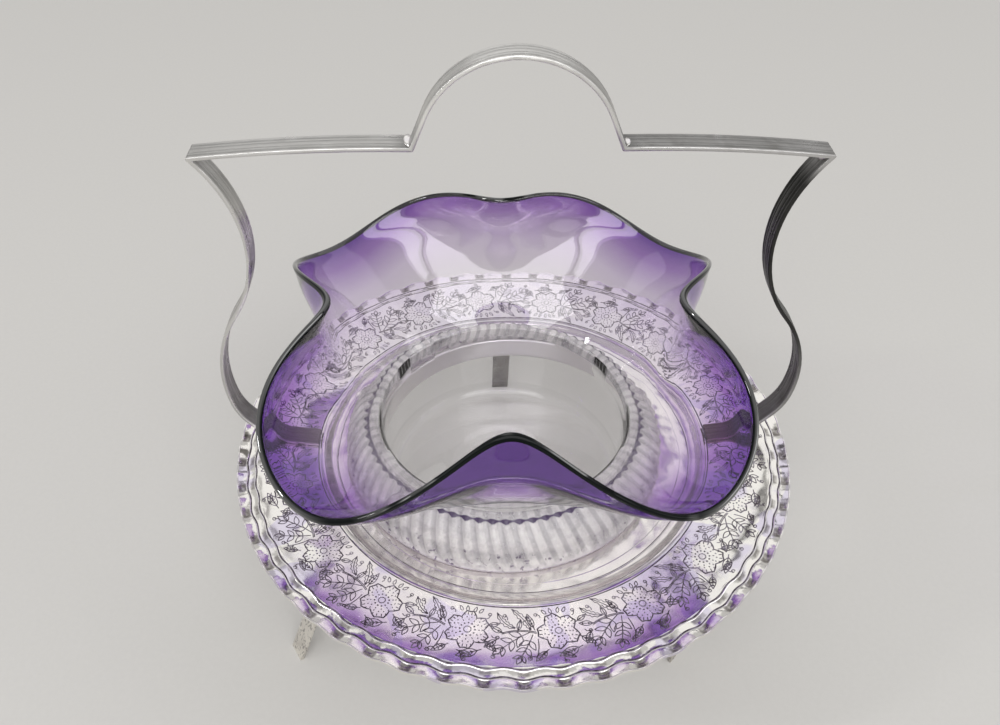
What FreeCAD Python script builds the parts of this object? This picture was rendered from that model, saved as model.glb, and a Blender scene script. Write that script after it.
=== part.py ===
"""Sweetmeat dish: plated ring stand on strap legs, strap handle and lift-out glass bowl.

Millimetres. +Z is up, the floor is Z = 0 and the Z axis is the axis of the dish.
X runs along the handle, so the handle spans the dish from -X to +X.
Heights named "rise" or "drop" are counted from the plane of the plate's crimped edge.
"""
import FreeCAD, Part
import math
import os

from FreeCAD import Vector

FULL_TURN = 2.0 * math.pi

# Whole dish: the widths step outwards from the bowl's round body to the plate's edge
EDGE_HEIGHT = 65.0
BODY_RADIUS = 46.0
METAL_THICK = 1.0

# Plate: raised collar round the hole, sunk well, sloping flange
HOLE_CLEARANCE = 4.0
HOLE_RADIUS = BODY_RADIUS + HOLE_CLEARANCE
COLLAR_RISE = 3.0
COLLAR_FILLET = 0.6
WELL_DROP = 5.0
WELL_WIDTH = 16.0
WELL_RADIUS = HOLE_RADIUS + WELL_WIDTH
COVE_WIDTH = 4.5
RING_RADIUS = WELL_RADIUS + COVE_WIDTH
RING_DROP = 3.0
RING_HALF_WIDTH = 0.8
RING_HEIGHT = 0.45
FLANGE_WIDTH = 21.9
FLANGE_RADIUS = RING_RADIUS + FLANGE_WIDTH
FLANGE_DROP = 0.2

# Plate: crimped border, with a wave that grows towards the edge
CRIMP_COUNT = 52
POINTS_PER_CRIMP = 4
INNER_LINE_WIDTH = 1.0
INNER_LINE_RADIUS = FLANGE_RADIUS + INNER_LINE_WIDTH
INNER_LINE_WAVE = 0.25
MIDDLE_LINE_WIDTH = 2.8
MIDDLE_LINE_RADIUS = INNER_LINE_RADIUS + MIDDLE_LINE_WIDTH
MIDDLE_LINE_DROP = 0.8
MIDDLE_LINE_WAVE = 0.35
EDGE_WIDTH = 3.8
EDGE_RADIUS = MIDDLE_LINE_RADIUS + EDGE_WIDTH
EDGE_WAVE = 0.7

# Straps of the legs and the handle
STRAP_WIDTH = 8.0
STRAP_THICK = 1.3
SOLDER_FILM = 0.05

# Legs: angle of each leg about the axis in degrees, and how far inside the edge it stands
LEG_BACK_ANGLE = 91.7
LEG_BACK_INSET = 7.6
LEG_LEFT_ANGLE = 211.6
LEG_LEFT_INSET = 4.0
LEG_RIGHT_ANGLE = 318.2
LEG_RIGHT_INSET = 18.9
KNEE_WIDTH = 6.0
KNEE_RADIUS = WELL_RADIUS + KNEE_WIDTH
KNEE_BEND = 3.0
LEG_TAB_LENGTH = 14.5
LEG_TAB_RADIUS = KNEE_RADIUS - LEG_TAB_LENGTH
LEG_BOW = 0.9
FLOOR_OVERRUN = 4.0

# Handle, each place on the middle of the strap's thickness; bent by hand, it leans to -X
HANDLE_RISE = 145.2
ARCH_RADIUS = 27.9
ARCH_LEAN = 0.85
KINK_WIDTH = 1.6
KINK_REACH = ARCH_RADIUS + KINK_WIDTH
ARCH_HEIGHT = 26.2
KINK_RISE = HANDLE_RISE - ARCH_HEIGHT
BAR_BOW = 1.0
BAR_DROOP = 2.6
SHOULDER_RISE = KINK_RISE - BAR_DROOP
BULGE_INSET = 1.45
BULGE_LEAN = 0.8
BULGE_REACH = EDGE_RADIUS - BULGE_INSET
BULGE_RISE = 30.0
WAIST_INSET = 19.15
WAIST_LEAN = 2.2
WAIST_REACH = BULGE_REACH - WAIST_INSET
SHOULDER_HEIGHT = 29.4
WAIST_RISE = SHOULDER_RISE - SHOULDER_HEIGHT
WAIST_BEND = 46.0
HEEL_BEND = 22.0
HEEL_START_ANGLE = math.radians(10.0)
HEEL_END_ANGLE = math.radians(40.0)
TOE_BEND = 8.0
HANDLE_TAB_MARGIN = 1.5
HANDLE_TAB_RADIUS = RING_RADIUS + HANDLE_TAB_MARGIN

# Glass bowl: round lower body that hangs through the collar, a little off the plate's centre
BOWL_SHIFT = -3.5
GLASS_WALL = 2.4
BASE_DROP = 23.0
BASE_CORNER = 6.0
BASE_THICK = 3.2
PUNT_RADIUS = 20.0
PUNT_DEPTH = 1.4
NECK_RISE = 13.0

# Glass bowl: folded rim, four lobes on the diagonals and four folds between them
LOBE_COUNT = 4
LOBE_ANGLE = math.radians(45.0)
FLARE_WIDTH = 31.2
RIM_RADIUS = BODY_RADIUS + FLARE_WIDTH
RIM_RISE = 52.2
RIM_LEAN = 1.6
RIM_ROUND = 0.9
LOBE_REACH = 15.3
LOBE_PINCH = 3.3
LOBE_FALL = 12.0
LOBE_SAG = 1.2
SECTION_POINTS = 32
RADIUS_SHARES = (0.0, 0.21, 0.49, 0.73, 0.95, 1.0)
HEIGHT_SHARES = (0.0, 0.22, 0.42, 0.62, 0.82, 1.0)
FOLD_SHARES = (0.0, 0.10, 0.23, 0.44, 0.69, 1.0)

# Glass frill fused round the neck, pleated on the slant
PLEAT_COUNT = 72
PLEAT_DEPTH = 1.2
PLEAT_SLANT_ANGLE = math.radians(-6.0)
FRILL_CLEARANCE = 4.2
FRILL_INNER_RADIUS = HOLE_RADIUS + METAL_THICK + FRILL_CLEARANCE
FRILL_WALL = 1.9
FRILL_FOOT_RADIUS = FRILL_INNER_RADIUS + FRILL_WALL
FRILL_SWELL = 0.9
FRILL_RADIUS = FRILL_FOOT_RADIUS + FRILL_SWELL
FRILL_DRAW = 3.5
FRILL_SHOULDER_RADIUS = FRILL_RADIUS - FRILL_DRAW
FRILL_CREST_WIDTH = 3.6
FRILL_CREST_RADIUS = BODY_RADIUS + FRILL_CREST_WIDTH
FRILL_BELLY_SHARE = 0.3
FRILL_SHOULDER_SHARE = 0.78
FRILL_ROOF = 4.0
SEAT_GAP = 0.3

WELL_TOP = EDGE_HEIGHT - WELL_DROP
LAST_STATION = len(RADIUS_SHARES) - 1
FLANGE_SLOPE = (RING_DROP - FLANGE_DROP) / (FLANGE_RADIUS - RING_RADIUS)


def at(radius, rise, angle=0.0):
    """Point at a radius and a rise above the edge plane, turned about the axis."""
    return Vector(radius * math.cos(angle), radius * math.sin(angle), EDGE_HEIGHT + rise)


def line(start, end):
    return Part.LineSegment(start, end).toShape()


def arc(start, middle, end):
    return Part.Arc(start, middle, end).toShape()


def round_arc(centre, radius, start, end):
    """Arc in the XZ plane, from one angle to another about +X."""
    def spot(angle):
        return centre + Vector(radius * math.cos(angle), 0, radius * math.sin(angle))
    return arc(spot(start), spot((start + end) / 2), spot(end))


def spun(edges):
    """Faces made by turning edges in the XZ plane once about the axis."""
    return Part.Wire(edges).revolve(Vector(0, 0, 0), Vector(0, 0, 1), 360).Faces


def closed_curve(points):
    curve = Part.BSplineCurve()
    curve.interpolate(Points=points, PeriodicFlag=True)
    return curve.toShape()


def solid_from(faces):
    shell = Part.makeShell(faces)
    shell.sewShape()
    solid = Part.makeSolid(shell)
    if solid.Volume < 0:
        solid.reverse()
    return solid


def band(first, second):
    """Ruled faces between two rings of points, one for each step round the ring."""
    faces = []
    for step in range(len(first)):
        near = line(first[step - 1], first[step])
        far = line(second[step - 1], second[step])
        faces.append(Part.makeRuledSurface(near, far))
    return faces


def flat_ring(points, radius):
    """Level face between a ring of points and a circle inside it."""
    outside = Part.makePolygon(points + points[:1])
    inside = Part.Circle(Vector(0, 0, points[0].z), Vector(0, 0, 1), radius).toShape()
    return Part.makeFace([outside, Part.Wire(inside)], "Part::FaceMakerBullseye").Faces


def crimped_ring(radius, rise, swing, wave):
    """Ring of points that swings in and out, and up and down, once for each crimp."""
    count = CRIMP_COUNT * POINTS_PER_CRIMP
    points = []
    for step in range(count):
        angle = FULL_TURN * step / count
        crimp = math.cos(CRIMP_COUNT * angle)
        points.append(at(radius + swing * crimp, rise - wave * crimp, angle))
    return points


def plate():
    """Spun plate with its hole, collar, well, ring line, flange and crimped border."""
    collar_outer = HOLE_RADIUS + METAL_THICK
    fillet_radius = collar_outer + COLLAR_FILLET
    lip = COLLAR_RISE - METAL_THICK / 2
    bend = math.sqrt(0.5)
    ring_in = RING_RADIUS - RING_HALF_WIDTH
    ring_out = RING_RADIUS + RING_HALF_WIDTH
    ring_out_drop = RING_DROP - RING_HALF_WIDTH * FLANGE_SLOPE
    cove_drop = RING_DROP + (WELL_DROP - RING_DROP) * bend
    cove_radius = ring_in - (ring_in - WELL_RADIUS) * (1 - bend)

    def side(thick, fillet):
        """Profile of one face of the sheet, from the flange in to the collar."""
        ring_top = RING_DROP - (RING_HEIGHT if thick == 0 else 0) + thick
        corner = collar_outer - thick
        return [
            line(at(FLANGE_RADIUS, -FLANGE_DROP - thick), at(ring_out, -ring_out_drop - thick)),
            arc(at(ring_out, -ring_out_drop - thick), at(RING_RADIUS, -ring_top),
                at(ring_in, -RING_DROP - thick)),
            arc(at(ring_in, -RING_DROP - thick), at(cove_radius, -cove_drop - thick),
                at(WELL_RADIUS, -WELL_DROP - thick)),
            line(at(WELL_RADIUS, -WELL_DROP - thick), at(fillet_radius, -WELL_DROP - thick)),
            arc(at(fillet_radius, -WELL_DROP - thick),
                at(fillet_radius - fillet * bend, -WELL_DROP - thick + fillet * (1 - bend)),
                at(corner, -WELL_DROP + COLLAR_FILLET)),
            line(at(corner, -WELL_DROP + COLLAR_FILLET), at(corner, lip)),
        ]

    top = side(0, COLLAR_FILLET)
    bottom = side(METAL_THICK, COLLAR_FILLET + METAL_THICK)
    lip_edge = arc(at(collar_outer, lip), at(HOLE_RADIUS + METAL_THICK / 2, COLLAR_RISE),
                   at(HOLE_RADIUS, lip))
    faces = spun(top) + spun([lip_edge]) + spun(bottom)

    edges = []
    for thick in (0, METAL_THICK):
        inner = crimped_ring(INNER_LINE_RADIUS, -FLANGE_DROP - thick, INNER_LINE_WAVE, 0)
        middle = crimped_ring(MIDDLE_LINE_RADIUS, -MIDDLE_LINE_DROP - thick,
                              INNER_LINE_WAVE, MIDDLE_LINE_WAVE)
        edge = crimped_ring(EDGE_RADIUS, -thick, 0, EDGE_WAVE)
        faces += flat_ring(inner, FLANGE_RADIUS) + band(inner, middle) + band(middle, edge)
        edges.append(edge)
    return solid_from(faces + band(*edges))


def strap(path):
    """Flat strap that follows a path in the XZ plane, centred on Y = 0."""
    outline = Part.Wire(path).makeOffset2D(STRAP_THICK / 2)
    face = Part.Face(outline)
    face.translate(Vector(0, -STRAP_WIDTH / 2, 0))
    return face.extrude(Vector(0, STRAP_WIDTH, 0))


def leg(azimuth, reach):
    """Strap leg: flat tab under the well, sharp knee, bowed shank cut level at the floor."""
    tab_height = WELL_TOP - METAL_THICK - STRAP_THICK / 2
    foot = Vector(reach, 0, 0)
    knee = Vector(KNEE_RADIUS, 0, tab_height)
    down = (foot - knee).normalize()
    turn = math.acos(down.x)
    setback = KNEE_BEND * math.tan(turn / 2)
    before = knee - Vector(setback, 0, 0)
    after = knee + down * setback
    bend_centre = before - Vector(0, 0, KNEE_BEND)
    half = math.pi / 2 - turn / 2
    bend_middle = bend_centre + Vector(KNEE_BEND * math.cos(half), 0, KNEE_BEND * math.sin(half))
    toe = foot + down * FLOOR_OVERRUN
    inward = Vector(down.z, 0, -down.x)
    shank_middle = (after + toe) * 0.5 + inward * LEG_BOW
    path = [
        line(Vector(LEG_TAB_RADIUS, 0, tab_height), before),
        arc(before, bend_middle, after),
        arc(after, shank_middle, toe),
    ]
    body = strap(path)
    below = Part.makeBox(2 * EDGE_RADIUS, 2 * STRAP_WIDTH, EDGE_HEIGHT,
                         Vector(0, -STRAP_WIDTH, -EDGE_HEIGHT))
    body = body.cut(below)
    body.rotate(Vector(0, 0, 0), Vector(0, 0, 1), azimuth)
    return body.Solids[0]


def handle_side(side):
    """Half of the handle's middle line, from its tab up to the arch, drawn towards +X.

    Side is 1 for the +X half and -1 for the other, which leans outwards and is mirrored later.
    """
    film = SOLDER_FILM + STRAP_THICK / 2
    slope = math.atan(FLANGE_SLOPE)

    def on_flange(radius):
        lift = film / math.cos(slope)
        return at(radius, -RING_DROP + (radius - RING_RADIUS) * FLANGE_SLOPE + lift)

    waist_reach = WAIST_REACH - side * WAIST_LEAN
    bulge_reach = BULGE_REACH - side * BULGE_LEAN
    span = WAIST_RISE - BULGE_RISE
    offset = bulge_reach - waist_reach
    bends = (span ** 2 + offset ** 2) / (2 * offset)
    bulge_bend = bends - WAIST_BEND
    waist_centre = at(waist_reach + WAIST_BEND, WAIST_RISE)
    bulge_centre = at(bulge_reach - bulge_bend, BULGE_RISE)
    meet = math.atan2(waist_centre.z - bulge_centre.z, waist_centre.x - bulge_centre.x)
    shoulder = math.pi - math.asin((SHOULDER_RISE - WAIST_RISE) / WAIST_BEND)

    heel_shift = bulge_bend - HEEL_BEND
    heel_centre = bulge_centre + Vector(heel_shift * math.cos(HEEL_START_ANGLE), 0,
                                        -heel_shift * math.sin(HEEL_START_ANGLE))
    heel_end = heel_centre + Vector(HEEL_BEND * math.cos(HEEL_END_ANGLE), 0,
                                    -HEEL_BEND * math.sin(HEEL_END_ANGLE))
    falling = Vector(-math.sin(HEEL_END_ANGLE), 0, -math.cos(HEEL_END_ANGLE))
    fall_angle = math.pi / 2 - HEEL_END_ANGLE
    toe_drop = TOE_BEND * (math.cos(slope) - math.cos(fall_angle))
    toe_run = TOE_BEND * (math.sin(fall_angle) - math.sin(slope))

    radius = heel_end.x - toe_run
    miss = heel_end.z - toe_drop - on_flange(radius).z
    straight = miss / (falling.x * FLANGE_SLOPE - falling.z)
    toe_start = heel_end + falling * straight
    toe_end = toe_start + Vector(-toe_run, 0, -toe_drop)
    half_angle = (fall_angle + slope) / 2
    toe_middle = toe_start + Vector(-TOE_BEND * (math.sin(fall_angle) - math.sin(half_angle)), 0,
                                    -TOE_BEND * (math.cos(half_angle) - math.cos(fall_angle)))

    kink = at(KINK_REACH - side * ARCH_LEAN, KINK_RISE)
    corner = waist_centre + Vector(WAIST_BEND * math.cos(shoulder), 0,
                                   WAIST_BEND * math.sin(shoulder))
    bar_middle = (kink + corner) * 0.5 + Vector(0, 0, BAR_BOW)
    arch_centre = at(-side * ARCH_LEAN, HANDLE_RISE - ARCH_RADIUS)
    to_kink = kink - arch_centre
    lean = math.atan2(to_kink.z, to_kink.x) + math.acos(ARCH_RADIUS / to_kink.Length)
    arch_end = arch_centre + Vector(ARCH_RADIUS * math.cos(lean), 0, ARCH_RADIUS * math.sin(lean))

    edges = [
        line(on_flange(HANDLE_TAB_RADIUS), toe_end),
        arc(toe_end, toe_middle, toe_start),
        line(toe_start, heel_end),
        round_arc(heel_centre, HEEL_BEND, -HEEL_END_ANGLE, -HEEL_START_ANGLE),
        round_arc(bulge_centre, bulge_bend, -HEEL_START_ANGLE, meet),
        round_arc(waist_centre, WAIST_BEND, math.pi + meet, shoulder),
        arc(corner, bar_middle, kink),
        line(kink, arch_end),
    ]
    return edges, arch_centre, lean


def handle():
    """One flat strap: tab, S-shaped upright, drooping bar, arch, and back down the other side."""
    right, arch_centre, right_end = handle_side(1)
    left, _, left_end = handle_side(-1)
    arch = round_arc(arch_centre, ARCH_RADIUS, right_end, math.pi - left_end)
    left = [edge.mirror(Vector(0, 0, 0), Vector(1, 0, 0)) for edge in reversed(left)]
    body = strap(right + [arch] + left)

    round_radius = STRAP_WIDTH / 2
    low = EDGE_HEIGHT - WELL_DROP
    depth = WELL_DROP + STRAP_THICK
    for direction in (1, -1):
        end = HANDLE_TAB_RADIUS - STRAP_THICK / 2
        start = end if direction == 1 else -end - round_radius
        block = Part.makeBox(round_radius, STRAP_WIDTH, depth, Vector(start, -round_radius, low))
        centre = Vector(direction * (end + round_radius), 0, low)
        body = body.cut(block.cut(Part.makeCylinder(round_radius, depth, centre)))
    return body.Solids[0]


def flare_profile(station, angle):
    """Radius and rise of the flare's outer face at one station and one angle round it."""
    swing = LOBE_COUNT * (angle - LOBE_ANGLE)
    lobe, harmonic = math.cos(swing), math.cos(2 * swing)
    fold = FOLD_SHARES[station]
    radius = BODY_RADIUS + (RIM_RADIUS - BODY_RADIUS) * RADIUS_SHARES[station]
    radius += fold * (LOBE_REACH * lobe - LOBE_PINCH * harmonic)
    rise = NECK_RISE + (RIM_RISE - NECK_RISE) * HEIGHT_SHARES[station]
    rise += fold * (RIM_LEAN * math.sin(angle) - LOBE_FALL * lobe - LOBE_SAG * harmonic)
    return radius, rise


def flare_section(station, depth, beyond=0):
    """Closed curve round the flare, at a depth in its wall and pushed beyond the station."""
    below, above = max(station - 1, 0), min(station + 1, LAST_STATION)
    points = []
    for step in range(SECTION_POINTS):
        angle = FULL_TURN * step / SECTION_POINTS
        radius, rise = flare_profile(station, angle)
        low_radius, low_rise = flare_profile(below, angle)
        high_radius, high_rise = flare_profile(above, angle)
        length = math.hypot(high_radius - low_radius, high_rise - low_rise)
        out = (high_radius - low_radius) / length
        up = (high_rise - low_rise) / length
        points.append(at(radius - depth * up + beyond * out, rise + depth * out + beyond * up,
                         angle))
    return closed_curve(points)


def flare_face(depth):
    """Outer or inner face of the flare, lofted from the round neck to the folded rim."""
    neck = Part.Circle(at(0, NECK_RISE), Vector(0, 0, 1), BODY_RADIUS - depth).toShape()
    sections = [neck] + [flare_section(number, depth) for number in range(1, LAST_STATION + 1)]
    loft = Part.makeLoft([Part.Wire(section) for section in sections], False)
    return loft.Faces, sections[-1]


def glass_bowl():
    """Blown bowl: round body with a punt, and a flare whose rim is folded in four times."""
    bend = math.sqrt(0.5)
    inside = BODY_RADIUS - GLASS_WALL
    inner_corner = BASE_CORNER - GLASS_WALL
    corner_radius = BODY_RADIUS - BASE_CORNER
    floor = BASE_THICK - BASE_DROP
    punt = PUNT_DEPTH - BASE_DROP
    punt_top = PUNT_RADIUS - PUNT_DEPTH
    outside = [
        line(at(0, punt), at(punt_top, punt)),
        line(at(punt_top, punt), at(PUNT_RADIUS, -BASE_DROP)),
        line(at(PUNT_RADIUS, -BASE_DROP), at(corner_radius, -BASE_DROP)),
        arc(at(corner_radius, -BASE_DROP),
            at(corner_radius + BASE_CORNER * bend, BASE_CORNER * (1 - bend) - BASE_DROP),
            at(BODY_RADIUS, BASE_CORNER - BASE_DROP)),
        line(at(BODY_RADIUS, BASE_CORNER - BASE_DROP), at(BODY_RADIUS, NECK_RISE)),
    ]
    lining = [
        line(at(inside, NECK_RISE), at(inside, floor + inner_corner)),
        arc(at(inside, floor + inner_corner),
            at(corner_radius + inner_corner * bend, floor + inner_corner * (1 - bend)),
            at(corner_radius, floor)),
        line(at(corner_radius, floor), at(PUNT_RADIUS, floor)),
        line(at(PUNT_RADIUS, floor), at(punt_top, floor + PUNT_DEPTH)),
        line(at(punt_top, floor + PUNT_DEPTH), at(0, floor + PUNT_DEPTH)),
    ]
    outer_faces, outer_rim = flare_face(0)
    inner_faces, inner_rim = flare_face(GLASS_WALL)
    crest = flare_section(LAST_STATION, GLASS_WALL / 2, RIM_ROUND)
    rim = Part.makeLoft([Part.Wire(edge) for edge in (outer_rim, crest, inner_rim)], False)
    bowl = solid_from(spun(outside) + spun(lining) + outer_faces + inner_faces + rim.Faces)
    bowl.translate(Vector(BOWL_SHIFT, 0, 0))
    return bowl


def pleated_ring(radius, rise, turn_share):
    """Ring of points with a ridge and a groove for each pleat, turned by a share of the slant."""
    count = 2 * PLEAT_COUNT
    points = []
    for step in range(count):
        angle = FULL_TURN * step / count + PLEAT_SLANT_ANGLE * turn_share
        points.append(at(radius - PLEAT_DEPTH * (step % 2), rise, angle))
    return points


def glass_frill():
    """Clear pleated skirt round the neck, which hides the collar and sits on the well."""
    foot = SEAT_GAP - WELL_DROP
    height = NECK_RISE - foot
    roof = NECK_RISE - FRILL_ROOF
    foot_ring = pleated_ring(FRILL_FOOT_RADIUS, foot, 0)
    belly = pleated_ring(FRILL_RADIUS, foot + height * FRILL_BELLY_SHARE, FRILL_BELLY_SHARE)
    shoulder = pleated_ring(FRILL_SHOULDER_RADIUS, foot + height * FRILL_SHOULDER_SHARE,
                            FRILL_SHOULDER_SHARE)
    crest = pleated_ring(FRILL_CREST_RADIUS, NECK_RISE, 1)
    lining = [
        line(at(FRILL_INNER_RADIUS, foot), at(FRILL_INNER_RADIUS, COLLAR_RISE)),
        line(at(FRILL_INNER_RADIUS, COLLAR_RISE), at(BODY_RADIUS, roof)),
        line(at(BODY_RADIUS, roof), at(BODY_RADIUS, NECK_RISE)),
    ]
    faces = flat_ring(foot_ring, FRILL_INNER_RADIUS) + flat_ring(crest, BODY_RADIUS)
    faces += band(foot_ring, belly) + band(belly, shoulder) + band(shoulder, crest)
    frill = solid_from(faces + spun(lining))
    frill.translate(Vector(BOWL_SHIFT, 0, 0))
    return frill


def main():
    os.makedirs("parts", exist_ok=True)
    pieces = {
        "plate": plate(),
        "handle": handle(),
        "glass_bowl": glass_bowl(),
        "glass_frill": glass_frill(),
        "leg_back": leg(LEG_BACK_ANGLE, EDGE_RADIUS - LEG_BACK_INSET),
        "leg_left": leg(LEG_LEFT_ANGLE, EDGE_RADIUS - LEG_LEFT_INSET),
        "leg_right": leg(LEG_RIGHT_ANGLE, EDGE_RADIUS - LEG_RIGHT_INSET),
    }
    for name, shape in pieces.items():
        box = shape.BoundBox
        print(name, shape.ShapeType, "valid", shape.isValid(), "volume", round(shape.Volume, 1),
              "z", round(box.ZMin, 2), round(box.ZMax, 2), "x", round(box.XMin, 2),
              round(box.XMax, 2))
        shape.exportStep("parts/" + name + ".step")


if __name__ == "__main__":
    main()
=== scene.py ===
"""Looks of the sweetmeat dish: ring plate, strap handle and legs, and folded amethyst bowl."""

import bmesh
import bpy
import random
from math import atan2, copysign, cos, exp, hypot, pi, radians, sin, sqrt
from mathutils import Matrix, Vector


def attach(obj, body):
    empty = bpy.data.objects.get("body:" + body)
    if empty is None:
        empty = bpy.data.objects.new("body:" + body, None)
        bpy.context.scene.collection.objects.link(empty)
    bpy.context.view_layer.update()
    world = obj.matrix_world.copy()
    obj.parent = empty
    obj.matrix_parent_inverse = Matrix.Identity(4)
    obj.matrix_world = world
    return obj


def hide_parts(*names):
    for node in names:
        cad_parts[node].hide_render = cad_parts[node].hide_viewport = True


bl_info = {
    "name": "Sweetmeat dish",
    "version": (1, 0, 0),
    "blender": (4, 5, 0),
    "location": "3D View > Sidebar > Dish",
    "description": "Models the finish of a plated dish with a folded glass bowl",
    "category": "Object",
}

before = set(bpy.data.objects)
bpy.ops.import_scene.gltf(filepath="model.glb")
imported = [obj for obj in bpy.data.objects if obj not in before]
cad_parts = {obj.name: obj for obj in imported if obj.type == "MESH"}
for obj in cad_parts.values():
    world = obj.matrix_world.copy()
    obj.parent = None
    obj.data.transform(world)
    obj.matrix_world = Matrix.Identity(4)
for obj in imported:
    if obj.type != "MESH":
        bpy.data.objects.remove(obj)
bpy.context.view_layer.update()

# Lengths are in millimetres, and mm() turns them into the frame's metres.
# Heights named "rise" or "drop" are counted from the plane of the plate's crimped edge.
MM = 0.001
FULL_TURN = 2 * pi
CREASE_ANGLE = radians(40.0)

# Plate, from its hole out to its edge
METAL_THICK = 1.0
HOLE_RADIUS = 50.0
COLLAR_RADIUS = HOLE_RADIUS + METAL_THICK
COLLAR_RISE = 3.0
COLLAR_FILLET = 0.6
WELL_RADIUS = 66.0
WELL_DROP = 5.0
RING_RADIUS = 70.5
RING_DROP = 3.0
FLANGE_RADIUS = 92.4
FLANGE_DROP = 0.2
FLANGE_SLOPE = (RING_DROP - FLANGE_DROP) / (FLANGE_RADIUS - RING_RADIUS)
INNER_LINE_RADIUS = 93.4
MIDDLE_LINE_RADIUS = 96.2
EDGE_RADIUS = 100.0
EDGE_HEIGHT = 65.0

# Rises of the border's top face, one step apart from the edge in to the flange
BORDER_STEP = 0.5
BORDER_FALLS = (0.0, -0.12, -0.27, -0.42, -0.55, -0.66, -0.74, -0.80, -0.80, -0.74, -0.66,
                -0.56, -0.45, -0.33, -0.24, -FLANGE_DROP)

# Crimps, with the depth, radius and half width of the two thumb marks in each one
CRIMPS = 52
CRIMP_PITCH = FULL_TURN / CRIMPS
CRIMP_STEPS = 16
CRIMP_REACH = 0.1
CRIMP_SWING = 0.6
CRIMP_GROWTH = 1.2
THUMB_MARKS = ((0.55, 98.3, 1.0), (0.30, 94.9, 0.8))
THUMB_HALF_LENGTH = 1.6

# Chased band and the lines round the plate
BAND_REPEATS = 18
BAND_SEED = 7
BAND_MIDDLE = RING_RADIUS + 10.5
BAND_FOOT = RING_RADIUS + 1.2
BAND_TURN = radians(-2.0)
BAND_FLATNESS = 0.35
LINE_FLATNESS = 0.4
LINE_LIFT = 0.02
LIP_OFFSET = 0.42

# Straps, with the height of their face at each distance from the middle line. The eased edge
# is in millimetres, and within REEDED_HALF the lines and the crown are in reed heights.
STRAP_HALF = 4.0
REEDED_HALF = 3.5
REED_HEIGHT = 0.14
STRAP_FACE = ((4.0, -0.22), (3.92, -0.1), (3.78, -0.02), (3.6, 0.0), (3.1, 0.0), (2.85, -1.0),
              (2.6, 0.0), (2.35, -1.0), (2.1, 0.0), (1.4, 0.0), (1.15, -1.0), (0.9, 0.0),
              (0.25, 0.3))
HANDLE_END_RADIUS = 71.35
LEG_AZIMUTHS = {"leg_back": 91.7, "leg_left": 211.6, "leg_right": 318.2}

# Solder beads: place, half sizes and lean in radians
BEADS = (((-31.2, 0.2, 184.8), (1.7, 3.2, 0.9), 0.5),
         ((29.5, -1.0, 184.7), (1.2, 2.2, 0.7), -0.5),
         ((86.4, 0.3, 180.2), (1.6, 2.6, 1.9), 0.6))
BEAD_SEED = 3
BEAD_ROUGHNESS = 0.06

# Bowl: its foot, its neck, and the flare by shares at stations from the neck to the rim
BOWL_SHIFT = -3.5
BODY_RADIUS = 46.0
BASE_DROP = 23.0
BASE_CORNER = 6.0
BASE_THICK = 3.2
PUNT_RADIUS = 20.0
PUNT_DEPTH = 1.4
NECK_RISE = 13.0
RIM_RADIUS = 77.2
RIM_RISE = 52.2
RIM_LEAN = 1.6
LOBES = 4
LOBE_TURN = radians(45.0)
LOBE_REACH = 15.3
LOBE_PINCH = 3.3
LOBE_FALL = 12.0
LOBE_SAG = 1.2
RADIUS_SHARES = (0.0, 0.21, 0.49, 0.73, 0.95, 1.0)
HEIGHT_SHARES = (0.0, 0.22, 0.42, 0.62, 0.82, 1.0)
FOLD_SHARES = (0.0, 0.10, 0.23, 0.44, 0.69, 1.0)
LAST_STATION = len(RADIUS_SHARES) - 1
RINGS_PER_STATION = 6
BOWL_STEPS = 288

# Painted shade: how far the amethyst tint is deepened towards the front, the lobes and the front
# fold, and lightened at the back
FRONT_TINT = 0.14
LOBE_TINT = 0.14
FOLD_TINT = 0.2

# Frill
FRILL_INNER_RADIUS = 55.2
FRILL_FOOT = 0.3 - WELL_DROP
FRILL_ROOF = NECK_RISE - 4.0
FRILL_CREST = 12.6
CREST_RADIUS = 49.0
THREAD_RISE = 12.3
PLEAT_SLANT = radians(-6.0)
PLEAT_DEPTH = 1.2
PLEAT_START = -2.9
PLEAT_STEPS = 6

# Stage, in metres, watts and degrees. Each lamp has a name, a place, its sides and its power.
FLOOR_RADIUS = 9.0
LAMP_TARGET = (0, 0, 0.07)
LAMPS = (("window", (0.0, -1.95, 1.85), (3.0, 2.4), 52),
         ("sky_gap", (-2.3, -0.5, 1.6), (0.12, 0.5), 6),
         ("side_window", (2.4, -0.6, 1.2), (1.0, 1.4), 6),
         ("far_wall", (0.3, 2.0, 2.6), (4.4, 3.4), 19))
ROOM_COLOUR = (0.80, 0.79, 0.78)
ROOM_STRENGTH = 0.66
CAMERA_PLACE = (-0.01161, -0.22199, 0.30447)
CAMERA_TURN = (47.487, -0.438, -1.258)
SENSOR_WIDTH = 36


def mm(*lengths):
    """Vector in metres from lengths in millimetres."""
    return Vector(lengths) * MM


def at(radius, angle, rise, shift=0.0):
    """Point round the plate's axis, or round an axis that is shifted along X."""
    return mm(radius * cos(angle) + shift, radius * sin(angle), EDGE_HEIGHT + rise)


def add_object(name, data):
    """Object in the scene that shows a mesh, a lamp or a camera."""
    item = bpy.data.objects.new(name, data)
    bpy.context.scene.collection.objects.link(item)
    return item


# Mesh helpers

def finish_piece(name, bm, materials, body, replaced=()):
    """Turns a bmesh into an object that rides on a body and takes over CAD nodes."""
    mesh = bpy.data.meshes.new(name)
    bm.to_mesh(mesh)
    bm.free()
    mesh.polygons.foreach_set("use_smooth", [True] * len(mesh.polygons))
    mesh.set_sharp_from_angle(angle=CREASE_ANGLE)
    for material in materials:
        mesh.materials.append(material)
    piece = add_object(name, mesh)
    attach(piece, body)
    if replaced:
        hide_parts(*replaced)
    return piece


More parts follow.
